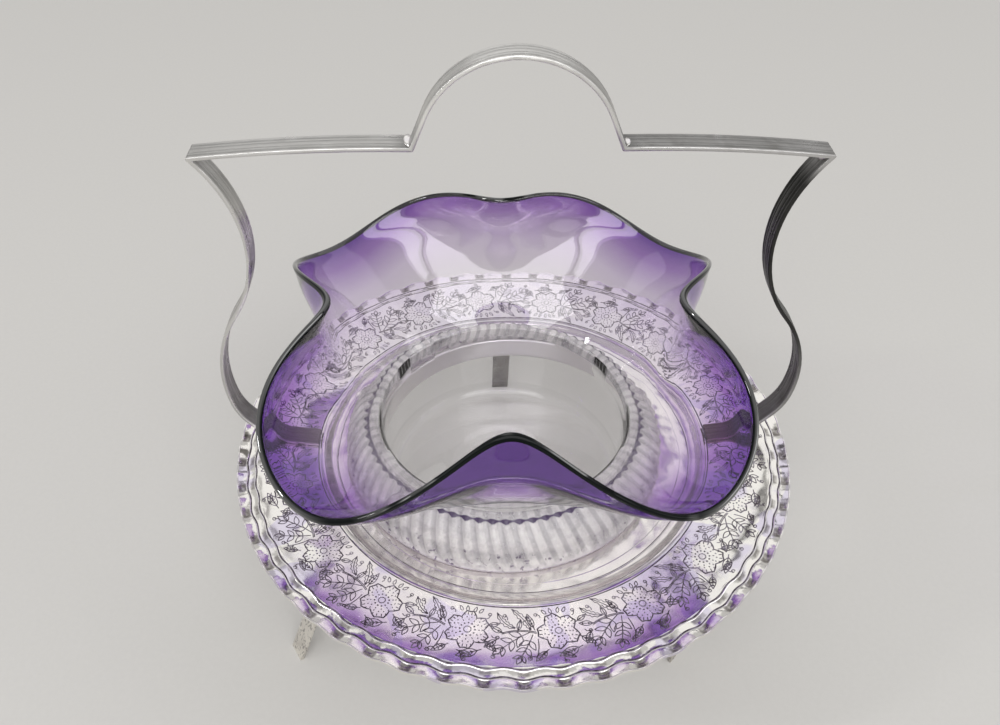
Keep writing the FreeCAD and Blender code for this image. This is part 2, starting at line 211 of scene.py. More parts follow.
def spin_rings(count, steps):
    """A flat disc of rings, one ring for each point of a profile that is given later."""
    bm = bmesh.new()
    verts = [bm.verts.new((number + 1, 0, 0)) for number in range(count)]
    for first, second in zip(verts, verts[1:]):
        bm.edges.new((first, second))
    bmesh.ops.spin(bm, geom=bm.verts[:] + bm.edges[:], cent=(0, 0, 0), axis=(0, 0, 1),
                   angle=FULL_TURN, steps=steps, use_merge=True)
    return bm


def on_rings(bm):
    """Each vertex of the disc with its ring's number and its angle, before it is moved."""
    for vert in bm.verts:
        ring = round(hypot(vert.co.x, vert.co.y)) - 1
        yield vert, ring, atan2(vert.co.y, vert.co.x)


def seal(bm, distance=0.002):
    """Merges doubles and points the faces outwards."""
    bmesh.ops.remove_doubles(bm, verts=bm.verts[:], dist=distance * MM)
    bmesh.ops.recalc_face_normals(bm, faces=bm.faces[:])


def join_ends(bm):
    """Closes a spun wall between its first and its last ring."""
    bmesh.ops.bridge_loops(bm, edges=[edge for edge in bm.edges if edge.is_boundary])
    seal(bm)


def arc_points(centre, radius, start, end, count):
    """Points on an arc in the profile plane, angles in degrees."""
    angles = [radians(start + (end - start) * step / count) for step in range(count + 1)]
    return [(centre[0] + radius * cos(angle), centre[1] + radius * sin(angle))
            for angle in angles]


def blend_through(values, place):
    """Smooth value through evenly spaced stations, at a place counted in stations."""
    number = min(int(place), len(values) - 2)
    share = place - number
    here, there = values[number], values[number + 1]
    before = values[number - 1] if number > 0 else 2 * here - there
    after = values[number + 2] if number + 2 < len(values) else 2 * there - here
    return 0.5 * (2 * here + (there - before) * share
                  + (2 * before - 5 * here + 4 * there - after) * share ** 2
                  + (3 * here - before - 3 * there + after) * share ** 3)


# Shader helpers

class Shade:
    """A socket whose operators add Math nodes, so that shader maths reads as an expression."""

    def __init__(self, tree, socket):
        self.tree = tree
        self.socket = socket

    def math(self, operation, *others):
        """Math node on this value and the others."""
        inputs = dict(enumerate((self,) + others))
        return self.tree.node("ShaderNodeMath", {"operation": operation}, inputs)

    def __add__(self, other):
        return self.math("ADD", other)

    def __sub__(self, other):
        return self.math("SUBTRACT", other)

    def __rsub__(self, other):
        return self * -1 + other

    def __mul__(self, other):
        return self.math("MULTIPLY", other)

    __radd__ = __add__
    __rmul__ = __mul__

    def ramp(self, low, high):
        """0 below low, 1 above high and a soft step between."""
        return self.tree.node("ShaderNodeMapRange",
                              {"interpolation_type": "SMOOTHSTEP", "clamp": True},
                              {"Value": self, "From Min": low, "From Max": high})


class Finish:
    """A material and the nodes that shade it."""

    def __init__(self, name):
        self.material = bpy.data.materials.new(name)
        self.material.use_nodes = True
        self.nodes = self.material.node_tree.nodes
        self.links = self.material.node_tree.links
        self.nodes.clear()

    def node(self, kind, settings=(), inputs=(), output=0):
        """Adds a node, sets it up, feeds its inputs and gives one of its outputs."""
        node = self.nodes.new(kind)
        for name, setting in dict(settings).items():
            if name == "stops":
                for index, (place, colour) in enumerate(setting):
                    elements = node.color_ramp.elements
                    stop = elements[index] if index < 2 else elements.new(place)
                    stop.position = place
                    stop.color = (*colour, 1)
            else:
                setattr(node, name, setting)
        for name, given in dict(inputs).items():
            self.feed(node.inputs[name], given)
        return Shade(self, node.outputs[output])

    def feed(self, socket, given):
        """Links a shade to a socket, or sets the socket's own value."""
        if isinstance(given, Shade):
            self.links.new(given.socket, socket)
        else:
            socket.default_value = (*given, 1) if socket.type == "RGBA" else given

    def place(self):
        """Object coordinates in millimetres from the floor's middle."""
        coordinates = self.node("ShaderNodeTexCoord", output=3)
        return self.node("ShaderNodeVectorMath", {"operation": "SCALE"},
                         {0: coordinates, "Scale": 1 / MM})

    def split(self, vector):
        """The three coordinates of a vector."""
        outputs = self.node("ShaderNodeSeparateXYZ", (), {0: vector}).socket.node.outputs
        return [Shade(self, output) for output in outputs]

    def stretch(self, vector, factors):
        """A vector multiplied axis by axis, for a pattern that is longer one way."""
        return self.node("ShaderNodeVectorMath", {"operation": "MULTIPLY"},
                         {0: vector, 1: factors})

    def noise(self, vector, scale, detail=3.0, roughness=0.5, distortion=0.0):
        """Noise from 0 to 1, with its scale in cells to the millimetre."""
        return self.node("ShaderNodeTexNoise", {"noise_dimensions": "3D"},
                         {"Vector": vector, "Scale": scale, "Detail": detail,
                          "Roughness": roughness, "Distortion": distortion})

    def mix(self, factor, first, second):
        """The first colour where the factor is 0 and the second where it is 1."""
        return self.node("ShaderNodeMix", {"data_type": "RGBA"},
                         {0: factor, 6: first, 7: second}, 2)

    def attribute(self, name):
        """Number that is stored in the mesh's vertices."""
        return self.node("ShaderNodeAttribute", {"attribute_name": name}, output=2)

    def bump(self, height, strength, distance):
        """Normal of a surface with a fine relief."""
        return self.node("ShaderNodeBump", (), {"Strength": strength, "Distance": distance,
                                                "Height": height})

    def blend(self, factor, first, second):
        """Mix of two shaders."""
        return self.node("ShaderNodeMixShader", (), {0: factor, 1: first, 2: second})

    def surface(self, inputs):
        """Principled shader."""
        return self.node("ShaderNodeBsdfPrincipled", (), inputs)

    def close(self, shader):
        """Ends the material with a shader."""
        output = self.nodes.new("ShaderNodeOutputMaterial")
        self.links.new(shader.socket, output.inputs["Surface"])
        return self.material

    def close_metal(self, colour, roughness, metallic=1.0, **others):
        """Ends the material with a metal surface."""
        return self.close(self.surface({"Base Color": colour, "Roughness": roughness,
                                        "Metallic": metallic, **others}))


def polar(x, y):
    """Radius and angle of a shaded place round an axis."""
    return (x * x + y * y).math("SQRT"), y.math("ARCTAN2", x)


# Sizes and colours

def colour_property(name, description, default):
    return bpy.props.FloatVectorProperty(name=name, description=description, default=default,
                                         subtype="COLOR", size=3, min=0, max=1)


class DishGlass(bpy.types.PropertyGroup):
    """Sizes and colours of the glass."""
    wall: bpy.props.FloatProperty(
        name="Wall", description="Thickness of the bowl's wall in millimetres", default=2.4)
    pleats: bpy.props.IntProperty(
        name="Pleats", description="Number of pleats round the frill", default=72)
    clear: colour_property("Clear", "Glass of the lower bowl and the frill", (0.99, 0.985, 0.99))
    pale: colour_property("Pale", "Glass half way up the flare", (0.96, 0.92, 0.98))
    amethyst: colour_property("Amethyst", "Glass near the rim", (0.17, 0.06, 0.40))
    rim: colour_property("Rim", "Glass seen along its edge at the rim", (0.0015, 0.003, 0.003))


class DishSilver(bpy.types.PropertyGroup):
    """Sizes and colours of the metal."""
    bright: colour_property("Bright", "Polished plate", (0.94, 0.915, 0.87))
    lavender: colour_property("Lavender", "Plate with a thin lilac tarnish", (0.73, 0.68, 0.82))
    # The tarnish colour also paints the shadow line in the well.
    tarnish: colour_property("Tarnish", "Dark tarnish in hollows and cut lines",
                             (0.06, 0.045, 0.055))
    strap: colour_property("Strap", "Dulled strap of the handle", (0.35, 0.345, 0.34))
    line_width: bpy.props.FloatProperty(
        name="Line width", description="Width of a chased line in millimetres", default=0.31)


class DishStage(bpy.types.PropertyGroup):
    """Floor, camera and lamps."""
    floor: colour_property("Floor", "Pale warm grey of the floor", (0.60, 0.59, 0.57))
    lens: bpy.props.FloatProperty(
        name="Lens", description="Focal length in millimetres", default=31.59)


# Metal finishes

def silver_plate(settings):
    """Bright silver with lilac patches, darker in the hollows of the crimps, with painted shade
    in the cove and on the back half.
    """
    finish = Finish("chased_silver")
    place = finish.place()
    x, y, _ = finish.split(place)
    radius, angle = polar(x, y)
    patches = finish.noise(place, 0.035, 2.0, 0.5, 1.6).ramp(0.52, 0.57) * radius.ramp(69, 71)
    film = finish.noise(place, 0.12, 5.0, 0.65, 0.4).ramp(0.48, 0.78)
    colour = finish.mix(patches * 0.8, settings.bright, settings.lavender)
    colour = finish.mix(film * 0.4 * radius.ramp(66, 72), colour, settings.lavender)
    # Painted shade: the back half of the plate is darkened in its colour.
    back_half = y.ramp(10, 60)
    colour = finish.mix(back_half * 0.8, colour, (0.70, 0.66, 0.72))

    hollow = (angle * CRIMPS).math("COSINE").ramp(0.3, 0.8)
    outer_band = radius.ramp(96.5, 97.4) * radius.ramp(100.0, 99.2)
    inner_band = radius.ramp(93.8, 94.5) * radius.ramp(96.0, 95.3)
    speckle = finish.noise(place, 0.5, 3.0, 0.6).ramp(0.3, 0.65)
    dark = hollow * (outer_band * 0.9 + inner_band * 0.65) * (0.6 + speckle * 0.4)
    colour = finish.mix(dark, colour, (0.16, 0.14, 0.13))

    # Painted shade in the cove inside the ring line, stronger towards the left.
    cove = radius.ramp(66.8, 67.6) * radius.ramp(69.8, 69.4) * x.ramp(30, -20)
    colour = finish.mix(cove * 0.35, colour, (0.42, 0.40, 0.39))
    collar = radius.ramp(COLLAR_RADIUS + 0.4, COLLAR_RADIUS)
    colour = finish.mix(collar * 0.5, colour, (0.84, 0.81, 0.84))

    dents = finish.noise(place, 0.06, 2.0)
    hammer = finish.noise(place, 0.3, 2.0) * radius.ramp(FLANGE_RADIUS, INNER_LINE_RADIUS)
    bump = finish.bump(dents + hammer * 0.16, 0.25, 0.004)
    roughness = 0.14 + film * 0.14 + dark * 0.15 + collar * 0.2
    return finish.close_metal(colour, roughness, Normal=bump)


def cut_line_and_shadow(settings):
    """Dark bottom of a chased line, and of the painted shadow line in the well."""
    finish = Finish("cut_line_and_shadow")
    wear = finish.noise(finish.place(), 0.5, 3.0).ramp(0.35, 0.75)
    colour = finish.mix(wear * 0.3, settings.tarnish, settings.lavender)
    return finish.close_metal(colour, 0.45, 0.6)


def bright_line(settings):
    """Bright silver for the solder beads and the edge line, and for the painted highlights in
    the well and on the border's lips.
    """
    finish = Finish("bright_line")
    wear = finish.noise(finish.place(), 0.4, 2.0).ramp(0.3, 0.8)
    colour = finish.mix(wear * 0.4, (0.92, 0.90, 0.87), settings.lavender)
    return finish.close_metal(colour, 0.18)


def strap_silver(settings):
    """Dulled strap with painted highlights along its edges, on the left and on the arch, and
    painted shade on the right upright.
    """
    finish = Finish("strap_silver")
    place = finish.place()
    x, y, z = finish.split(place)
    film = finish.noise(place, 0.08, 4.0, 0.6, 0.5).ramp(0.3, 0.75)
    colour = finish.mix(film, settings.strap, (0.22, 0.215, 0.205))
    streaks = finish.noise(finish.stretch(place, (0.15, 4.0, 0.15)), 1.0, 3.0, 0.6)
    colour = finish.mix(streaks.ramp(0.5, 0.8) * 0.5, colour, (0.50, 0.49, 0.47))
    # Painted highlight along both edges of the strap.
    edge = y.math("ABSOLUTE").ramp(STRAP_HALF - 0.7, STRAP_HALF - 0.1)
    colour = finish.mix(edge * 0.6, colour, (0.70, 0.69, 0.68))

    aside = x.math("ABSOLUTE")
    arch = aside.ramp(34, 26) * z.ramp(186, 192)
    # Painted highlight on the left upright and along the top of the arch.
    painted_highlight = x.ramp(10, -40) * z.ramp(70, 130) * 0.38 + arch * 0.5
    colour = finish.mix(painted_highlight, colour, (0.92, 0.91, 0.88))
    # Painted shade: the right upright is darkened nearly to black.
    right_upright = x.ramp(60, 70) * z.ramp(181, 172) * (0.45 + z.ramp(85, 120) * 0.5)
    colour = finish.mix(right_upright, colour, (0.02, 0.02, 0.018))
    tab = aside.ramp(92, 88) * z.ramp(68, 65) * (0.45 + x.ramp(-10, 10) * 0.4)
    colour = finish.mix(tab, colour, (0.16, 0.10, 0.10))
    bump = finish.bump(streaks, 0.3, 0.0003)
    return finish.close_metal(colour, 0.26 + film * 0.12, Normal=bump)


def leg_silver(settings):
    """Worn strap of the legs with faint chased marks, darker on the back leg."""
    finish = Finish("leg_silver")
    place = finish.place()
    film = finish.noise(place, 0.07, 4.0, 0.6, 0.5).ramp(0.35, 0.7)
    colour = finish.mix(film, (0.90, 0.87, 0.81), (0.60, 0.57, 0.53))
    back_leg = finish.split(place)[1].ramp(20, 40)
    colour = finish.mix(back_leg * 0.75, colour, (0.13, 0.12, 0.125))
    marks = finish.noise(finish.stretch(place, (1.0, 1.0, 0.4)), 0.6, 1.0, 0.5, 1.5)
    colour = finish.mix(marks.ramp(0.58, 0.62) * 0.45, colour, settings.tarnish)
    return finish.close_metal(colour, 0.28, Normal=finish.bump(marks, 0.35, 0.0004))


# Glass finishes

def passage(finish, colour):
    """Shader that lets light straight through and tints it with one colour."""
    return finish.node("ShaderNodeBsdfTransparent", (), {"Color": colour})


def glass_surface(finish, colour, passing, normal, gloss, milk=0.0, satin_colour=None):
    """Ends the material with glass, partly milky, that lets lamps' light pass as given."""
    glass = finish.surface({"Base Color": colour, "Roughness": 0.0, "IOR": 1.56,
                            "Transmission Weight": 1.0, "Coat Weight": gloss,
                            "Coat IOR": 1.7, "Coat Roughness": 0.0, "Normal": normal})
    if milk:
        satin = finish.surface({"Base Color": satin_colour, "Roughness": 0.25,
                                "Normal": normal})
        glass = finish.blend(milk, glass, satin)
    shadow_ray = finish.node("ShaderNodeLightPath", output=1)
    return finish.close(finish.blend(shadow_ray, glass, passing))


def amethyst_glass(settings):
    """Clear at the base, pale lilac up the flare and deep amethyst at the rim."""
    finish = Finish("amethyst_glass")
    place = finish.place()
    tint = finish.attribute("tint")
    stops = [(0.0, settings.clear), (1.0, settings.amethyst), (0.30, settings.pale),
             (0.55, (0.79, 0.69, 0.89)), (0.78, (0.37, 0.20, 0.58))]
    colour = finish.node("ShaderNodeValToRGB", {"stops": stops}, {0: tint})
    bump = finish.bump(finish.noise(place, 0.03, 1.0), 0.1, 0.002)
    gloss = tint.ramp(0.3, 0.75) * (0.2 + finish.split(place)[1].ramp(-25, 15) * 0.45)
    passing = finish.blend(tint.ramp(0.15, 1.0), passage(finish, settings.clear),
                           passage(finish, settings.amethyst))
    return glass_surface(finish, colour, passing, bump, gloss)


def rim_glass(settings):
    """The rim's edge, where the eye looks along the whole depth of the coloured glass."""
    finish = Finish("rim_glass")
    place = finish.place()
    side = (finish.split(place)[0] - BOWL_SHIFT).math("ABSOLUTE").ramp(50, 62)
    streak = finish.noise(place, 0.06, 1.0).ramp(0.50, 0.56) * 0.7
    gleam = finish.attribute("lip") * side.math("MAXIMUM", streak)
    return finish.close(finish.surface({"Base Color": settings.rim, "Roughness": 0.05,
                                        "IOR": 1.25, "Coat Weight": gleam, "Coat IOR": 2.5,
                                        "Coat Roughness": 0.0}))


def clear_glass(settings):
    """Milky clear glass with painted shade in the grooves and at the foot, dark specks and a
    violet thread at the crest.
    """
    finish = Finish("clear_glass")
    place = finish.place()
    x, y, z = finish.split(place)
    rise = z - EDGE_HEIGHT
    radius, angle = polar(x - BOWL_SHIFT, y)
    thread = (rise - THREAD_RISE).math("ABSOLUTE").ramp(0.75, 0.4) * radius.ramp(48.8, 49.2)
    specks = finish.noise(place, 0.45, 2.0).ramp(0.63, 0.67) * rise.ramp(5, 3) * 0.9
    colour = finish.mix(specks, settings.clear, (0.16, 0.11, 0.22))
    colour = finish.mix(thread * 0.9, colour, (0.10, 0.06, 0.16))

    veil = finish.noise(place, 0.12, 4.0, 0.65).ramp(0.35, 0.7)
    satin = finish.mix(veil, (0.77, 0.745, 0.725), (0.44, 0.425, 0.43))
    slant = (rise - FRILL_FOOT) * (-PLEAT_SLANT / (FRILL_CREST - FRILL_FOOT))
    wave = ((angle + slant) * settings.pleats).math("COSINE")
    # Painted shade in the grooves between the pleats.
    groove = wave.ramp(0.2, -0.8) * rise.ramp(-3, -1)
    satin = finish.mix(groove * 0.55, satin, (0.24, 0.23, 0.25))
    satin = finish.mix(specks, satin, (0.10, 0.06, 0.14))
    # Painted shade at the foot, where the frill meets the plate's well.
    foot = rise.ramp(-3.0, -3.6)
    satin = finish.mix(foot * 0.8, satin, (0.42, 0.36, 0.44))
    satin = finish.mix(thread, satin, (0.05, 0.03, 0.08))
    bump = finish.bump(finish.noise(place, 0.3, 4.0), 0.5, 0.0012)
    milk = 0.5 + thread * 0.4
    return glass_surface(finish, colour, passage(finish, settings.clear), bump, 0.0, milk, satin)


# Glass forms

def flare_profile(station, angle):
    """Radius and rise of the flare's outer face, station 0 at the neck to 5 at the rim."""
    swing = LOBES * (angle - LOBE_TURN)
    lobe, harmonic = cos(swing), cos(2 * swing)
    fold = blend_through(FOLD_SHARES, station)
    radius = BODY_RADIUS + (RIM_RADIUS - BODY_RADIUS) * blend_through(RADIUS_SHARES, station)
    radius += fold * (LOBE_REACH * lobe - LOBE_PINCH * harmonic)
    rise = NECK_RISE + (RIM_RISE - NECK_RISE) * blend_through(HEIGHT_SHARES, station)
    rise += fold * (RIM_LEAN * sin(angle) - LOBE_FALL * lobe - LOBE_SAG * harmonic)
    return radius, rise


def flare_point(station, angle, depth):
    """Point in the flare's wall at a depth from its outer face, and the way up the flare."""
    step = 0.05
    radius, rise = flare_profile(station, angle)
    low = flare_profile(max(station - step, 0), angle)
    high = flare_profile(min(station + step, LAST_STATION), angle)
    length = hypot(high[0] - low[0], high[1] - low[1])
    out, up = (high[0] - low[0]) / length, (high[1] - low[1]) / length
    return radius - depth * up, rise + depth * out, out, up


def bowl_rings(wall):
    """Rings of the bowl from the middle of its foot, over the rim and down to its floor.

    Each ring is (kind, numbers): a round ring has a radius and a rise, and a flare ring has a
    station, a depth in the wall and a push beyond the rim.
    """
    base, floor, corner = -BASE_DROP, BASE_THICK - BASE_DROP, BASE_CORNER
    punt, dome = PUNT_RADIUS, PUNT_DEPTH
    inside = BODY_RADIUS - wall
    inner_corner = corner - wall
    body_rises = (base + 12, base + 20, base + 28)
    outer = [(0.01, base + dome), (punt * 0.5, base + dome * 0.95),
             (punt * 0.75, base + dome * 0.8), (punt * 0.9, base + dome * 0.5),
             (punt, base + dome * 0.2), (punt + 2, base), (BODY_RADIUS - corner - 2, base)]
    outer += arc_points((BODY_RADIUS - corner, base + corner), corner, -90, 0, 8)
    outer += [(BODY_RADIUS, rise) for rise in body_rises]
    inner = [(inside, rise) for rise in reversed(body_rises)]
    inner += arc_points((inside - inner_corner, floor + inner_corner), inner_corner, 0, -90, 8)
    inner += [(punt + 4, floor), (punt + 1.5, floor + 0.12), (punt - 1, floor + 0.5),
              (punt - 4, floor + 0.95), (punt - 7, floor + 1.25), (punt * 0.5, floor + dome),
              (0.01, floor + dome)]
    stations = [number / RINGS_PER_STATION
                for number in range(LAST_STATION * RINGS_PER_STATION + 1)]
    stations.insert(-1, LAST_STATION - 0.1)
    rings = [("round", point) for point in outer]
    rings += [("flare", (station, 0, 0)) for station in stations]
    half = wall / 2
    for degrees in (30, 60, 90, 120, 150):
        turn = radians(degrees)
        depth = half - half * cos(turn)
        rings.append(("flare", (LAST_STATION, depth, half * sin(turn))))
    rings += [("flare", (station, wall, 0)) for station in reversed(stations)]
    rings += [("round", point) for point in inner]
    return rings


def blow_bowl(settings):
    """The folded bowl as one closed wall, tinted from its neck to its rim."""
    rings = bowl_rings(settings.wall)
    bm = spin_rings(len(rings), BOWL_STEPS)
    rim_start = rings.index(("flare", (LAST_STATION, 0, 0)))
    for face in bm.faces:
        middle = face.calc_center_median()
        ring = round(hypot(middle.x, middle.y) - 0.5) - 1
        reach = 6 if middle.y < 0 else 4
        face.material_index = int(rim_start - 1 <= ring < rim_start + reach)
    tint = bm.verts.layers.float.new("tint")
    lip = bm.verts.layers.float.new("lip")
    for vert, ring, angle in on_rings(bm):
        kind, numbers = rings[ring]
        if kind == "round":
            radius, rise = numbers
        else:
            station, depth, push = numbers
            radius, rise, out, up = flare_point(station, angle, depth)
            radius += push * out
            rise += push * up
            # Painted shade: the tint is deepened in the lobes, in the front fold and towards the
            # front.
            lobe = max(cos(LOBES * (angle - LOBE_TURN)), 0)
            front_fold = max(-sin(angle), 0) ** 8
            shift = LOBE_TINT * lobe + FOLD_TINT * front_fold - FRONT_TINT * sin(angle)
            vert[tint] = station / LAST_STATION * (1 + shift)
            vert[lip] = float(push > 0.4 * settings.wall)
        vert.co = at(radius, angle, rise, BOWL_SHIFT)
    seal(bm)
    return bm


def pleat_frill(pleats):
    """The frill with rounded pleats on the slant, thick at its crest and thin at its foot."""
    profile = [(57.3, FRILL_FOOT), (57.8, FRILL_FOOT + 0.9), (57.9, -2.7), (58.2, -1.6),
               (58.1, 0.4), (57.6, 2.4), (56.7, 4.4), (55.5, 6.3), (54.1, 8.2), (52.5, 10.0),
               (50.9, 11.6), (49.6, FRILL_CREST), (48.4, 12.9), (47.0, 12.9)]
    lining = [(BODY_RADIUS, FRILL_CREST), (BODY_RADIUS, FRILL_ROOF), (50.0, 6.4),
              (FRILL_INNER_RADIUS, COLLAR_RISE), (FRILL_INNER_RADIUS, FRILL_FOOT)]
    rings = profile + lining
    bm = spin_rings(len(rings), pleats * PLEAT_STEPS)
    for vert, ring, angle in on_rings(bm):
        radius, rise = rings[ring]
        if ring < len(profile) and radius > CREST_RADIUS:
            share = (rise - FRILL_FOOT) / (FRILL_CREST - FRILL_FOOT)
            ridge = 0.5 + 0.5 * cos(pleats * (angle - PLEAT_SLANT * share))
            depth = PLEAT_DEPTH * min(max((rise - PLEAT_START) / PLEAT_DEPTH, 0), 1)
            radius -= depth * (1 - ridge ** 1.5)
        vert.co = at(radius, angle, rise, BOWL_SHIFT)
    join_ends(bm)
    return bm


# Metal forms

def plate_profile():
    """Closed profile of the sheet: top face from the border in, lip, and back underneath."""
    lip = COLLAR_RISE - METAL_THICK / 2

    def face(thick):
        fillet = COLLAR_FILLET + thick
        wall = COLLAR_RADIUS - thick
        points = [(EDGE_RADIUS - BORDER_STEP * number, rise)
                  for number, rise in enumerate(BORDER_FALLS)]
        points += [(87.0, -0.9), (80.0, -1.79), (74.0, -2.55), (71.7, -2.85)]
        if thick == 0:
            points += [(71.2, -2.91), (70.9, -2.88), (70.5, -2.68), (70.1, -2.88), (69.7, -3.0)]
        else:
            points += [(RING_RADIUS, -RING_DROP)]
        points += [(69.2, -3.12), (68.4, -3.75), (67.4, -4.5), (WELL_RADIUS, -WELL_DROP),
                   (62.0, -WELL_DROP), (57.0, -WELL_DROP), (53.6, -WELL_DROP)]
        points += arc_points((wall + fillet, -WELL_DROP + fillet), fillet, -90, -180, 4)
        points += [(wall, 0.0), (wall, lip)]
        return [(radius, rise - thick) if radius > wall + 0.01 else (radius, rise)
                for radius, rise in points]

    rim = arc_points((COLLAR_RADIUS - METAL_THICK / 2, lip), METAL_THICK / 2, 30, 150, 4)
    return face(0) + rim + face(METAL_THICK)[::-1]


def crimp(radius, angle):
    """How far a crimp moves the sheet out and up, growing towards the edge.

    Each crimp has a thumb mark in the outer band and a fainter one in the inner band.
    """
    growth = max(radius - FLANGE_RADIUS, 0.0) / (EDGE_RADIUS - FLANGE_RADIUS)
    wave = cos(CRIMPS * angle)
    across = radius * (angle - CRIMP_PITCH * round(angle / CRIMP_PITCH))
    mark = sum(depth * exp(-((radius - middle) / half_width) ** 2)
               for depth, middle, half_width in THUMB_MARKS)
    mark *= exp(-(across / THUMB_HALF_LENGTH) ** 2)
    return CRIMP_REACH * wave * growth, -CRIMP_SWING * wave * growth ** CRIMP_GROWTH - mark


def spin_plate():
    """The sheet spun round its axis and crimped along its border."""
    profile = plate_profile()
    bm = spin_rings(len(profile), CRIMPS * CRIMP_STEPS)
    for vert, ring, angle in on_rings(bm):
        radius, rise = profile[ring]
        if radius > FLANGE_RADIUS:
            out, up = crimp(radius, angle)
            radius, rise = radius + out, rise + up
        vert.co = at(radius, angle, rise)
    join_ends(bm)
    return bm


def turn_round(bm, azimuth):
    """Turns a mesh about the plate's axis."""
    bmesh.ops.rotate(bm, verts=bm.verts[:], cent=(0, 0, 0),
                     matrix=Matrix.Rotation(radians(azimuth), 3, "Z"))


def cut(bm, across, **options):
    """Cuts a mesh with a plane at a distance along Y."""
    bmesh.ops.bisect_plane(bm, geom=bm.verts[:] + bm.edges[:] + bm.faces[:],
                           plane_co=mm(0, across, 0), plane_no=(0, 1, 0), **options)


def strap_outline(node, azimuth):
    """Outline of a CAD strap along its middle, turned into the plane of X and Z."""
    bm = bmesh.new()
    bm.from_mesh(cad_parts[node].data)
    bmesh.ops.remove_doubles(bm, verts=bm.verts[:], dist=0.001 * MM)
    turn_round(bm, -azimuth)
    cut(bm, 0, clear_inner=True, clear_outer=True)
    bmesh.ops.remove_doubles(bm, verts=bm.verts[:], dist=0.02 * MM)
    bmesh.ops.dissolve_limit(bm, angle_limit=radians(0.4), verts=bm.verts[:],
                             edges=bm.edges[:])
    return bm


def ordered_loop(bm):
    """Vertices of a single closed loop of edges, in order."""
    start = bm.verts[:][0]
    loop, edge = [start], start.link_edges[0]
    vert = edge.other_vert(start)
    while vert is not start:
        loop.append(vert)
        edge = [item for item in vert.link_edges if item is not edge][0]
        vert = edge.other_vert(vert)
    return loop

def aim_outwards(bm):
    """Stores at each vertex of an outline the way that a thicker strap would move it."""
    out_x = bm.verts.layers.float.new("out_x")
    out_z = bm.verts.layers.float.new("out_z")
    loop = ordered_loop(bm)
    area = sum(a.co.x * b.co.z - b.co.x * a.co.z for a, b in zip(loop, loop[1:] + loop[:1]))
    sense = 1 if area > 0 else -1
    for number, vert in enumerate(loop):
        before = (vert.co - loop[number - 1].co).normalized()
        after = (loop[(number + 1) % len(loop)].co - vert.co).normalized()
        first = Vector((before.z, 0, -before.x)) * sense
        second = Vector((after.z, 0, -after.x)) * sense
        normal = (first + second).normalized()
        normal /= max(normal.dot(first), 0.35)
        vert[out_x], vert[out_z] = normal.x, normal.z
    return out_x, out_z


def strap_from(node, azimuth, reed_height, round_end=None):
    """A strap with a crowned face, fine reeds and eased edges, on a CAD strap's own outline."""
    bm = strap_outline(node, azimuth)
    out_x, out_z = aim_outwards(bm)
    bmesh.ops.translate(bm, verts=bm.verts[:], vec=mm(0, -STRAP_HALF, 0))
    lifted = bmesh.ops.extrude_edge_only(bm, edges=bm.edges[:])
    top = [item for item in lifted["geom"] if isinstance(item, bmesh.types.BMVert)]
    bmesh.ops.translate(bm, verts=top, vec=mm(0, 2 * STRAP_HALF, 0))
    for distance, _ in STRAP_FACE[1:]:
        for side in (-1, 1):
            cut(bm, side * distance)
    heights = dict(STRAP_FACE)
    for vert in bm.verts:
        across = round(abs(vert.co.y) / MM, 2)
        push = heights.get(across, 0.0)
        if across < REEDED_HALF:
            push *= reed_height
        vert.co += Vector((vert[out_x], 0, vert[out_z])) * push * MM
        tab = round_end and vert.co.z < EDGE_HEIGHT * MM
        if tab and abs(vert.co.x) < (round_end + 0.1) * MM:
            bulge = sqrt(max(STRAP_HALF ** 2 - min(across, STRAP_HALF) ** 2, 0))
            reach = (round_end + STRAP_HALF - bulge) * MM
            vert.co.x = copysign(max(abs(vert.co.x), reach), vert.co.x)
    bmesh.ops.holes_fill(bm, edges=[edge for edge in bm.edges if edge.is_boundary], sides=0)
    turn_round(bm, azimuth)
    bmesh.ops.recalc_face_normals(bm, faces=bm.faces[:])
    return bm


def solder_beads():
    """Beads of solder in the corners where the handle's straps meet."""
    bm = bmesh.new()
    rng = random.Random(BEAD_SEED)
    for place, radii, lean in BEADS:
        leaning = Matrix.Rotation(lean, 4, "Y")
        shape = Matrix.Translation(mm(*place)) @ leaning @ Matrix.Diagonal(mm(*radii)).to_4x4()
        made = bmesh.ops.create_icosphere(bm, subdivisions=3, radius=1.0, matrix=shape)
        for vert in made["verts"]:
            vert.co += mm(*[rng.uniform(-BEAD_ROUGHNESS, BEAD_ROUGHNESS) for _ in range(3)])
    bmesh.ops.recalc_face_normals(bm, faces=bm.faces[:])
    return bm


# Chased work

def flange_point(radius, angle, lift):
    """Point on the flange or the border, a little above the metal."""
    drop = RING_DROP - (radius - RING_RADIUS) * FLANGE_SLOPE
    if radius < WELL_RADIUS:
        drop = WELL_DROP
    out = 0.0
    if radius > FLANGE_RADIUS:
        place = min((EDGE_RADIUS - radius) / BORDER_STEP, len(BORDER_FALLS) - 1.001)
        number = int(place)
        share = place - number
        drop = -(BORDER_FALLS[number] * (1 - share) + BORDER_FALLS[number + 1] * share)
        out, up = crimp(radius, angle)
        drop -= up
    return at(radius + out, angle, lift - drop)


def tubes(lines, width):
    """Thin four-sided strips along lines of points, as one mesh in a flat plane."""
    curve = bpy.data.curves.new("lines", "CURVE")
    curve.dimensions = "3D"
    curve.bevel_depth = width / 2
    curve.bevel_resolution = 0
    curve.use_fill_caps = True
    for points, closed in lines:
        spline = curve.splines.new("POLY")
        spline.points.add(len(points) - 1)
        for point, (across, out) in zip(spline.points, points):
            point.co = (across, out, 0, 1)
        spline.use_cyclic_u = closed
    holder = bpy.data.objects.new("lines", curve)
    mesh = bpy.data.meshes.new_from_object(holder)
    bpy.data.objects.remove(holder)
    bpy.data.curves.remove(curve)
    bm = bmesh.new()
    bm.from_mesh(mesh)
    bpy.data.meshes.remove(mesh)
    return bm


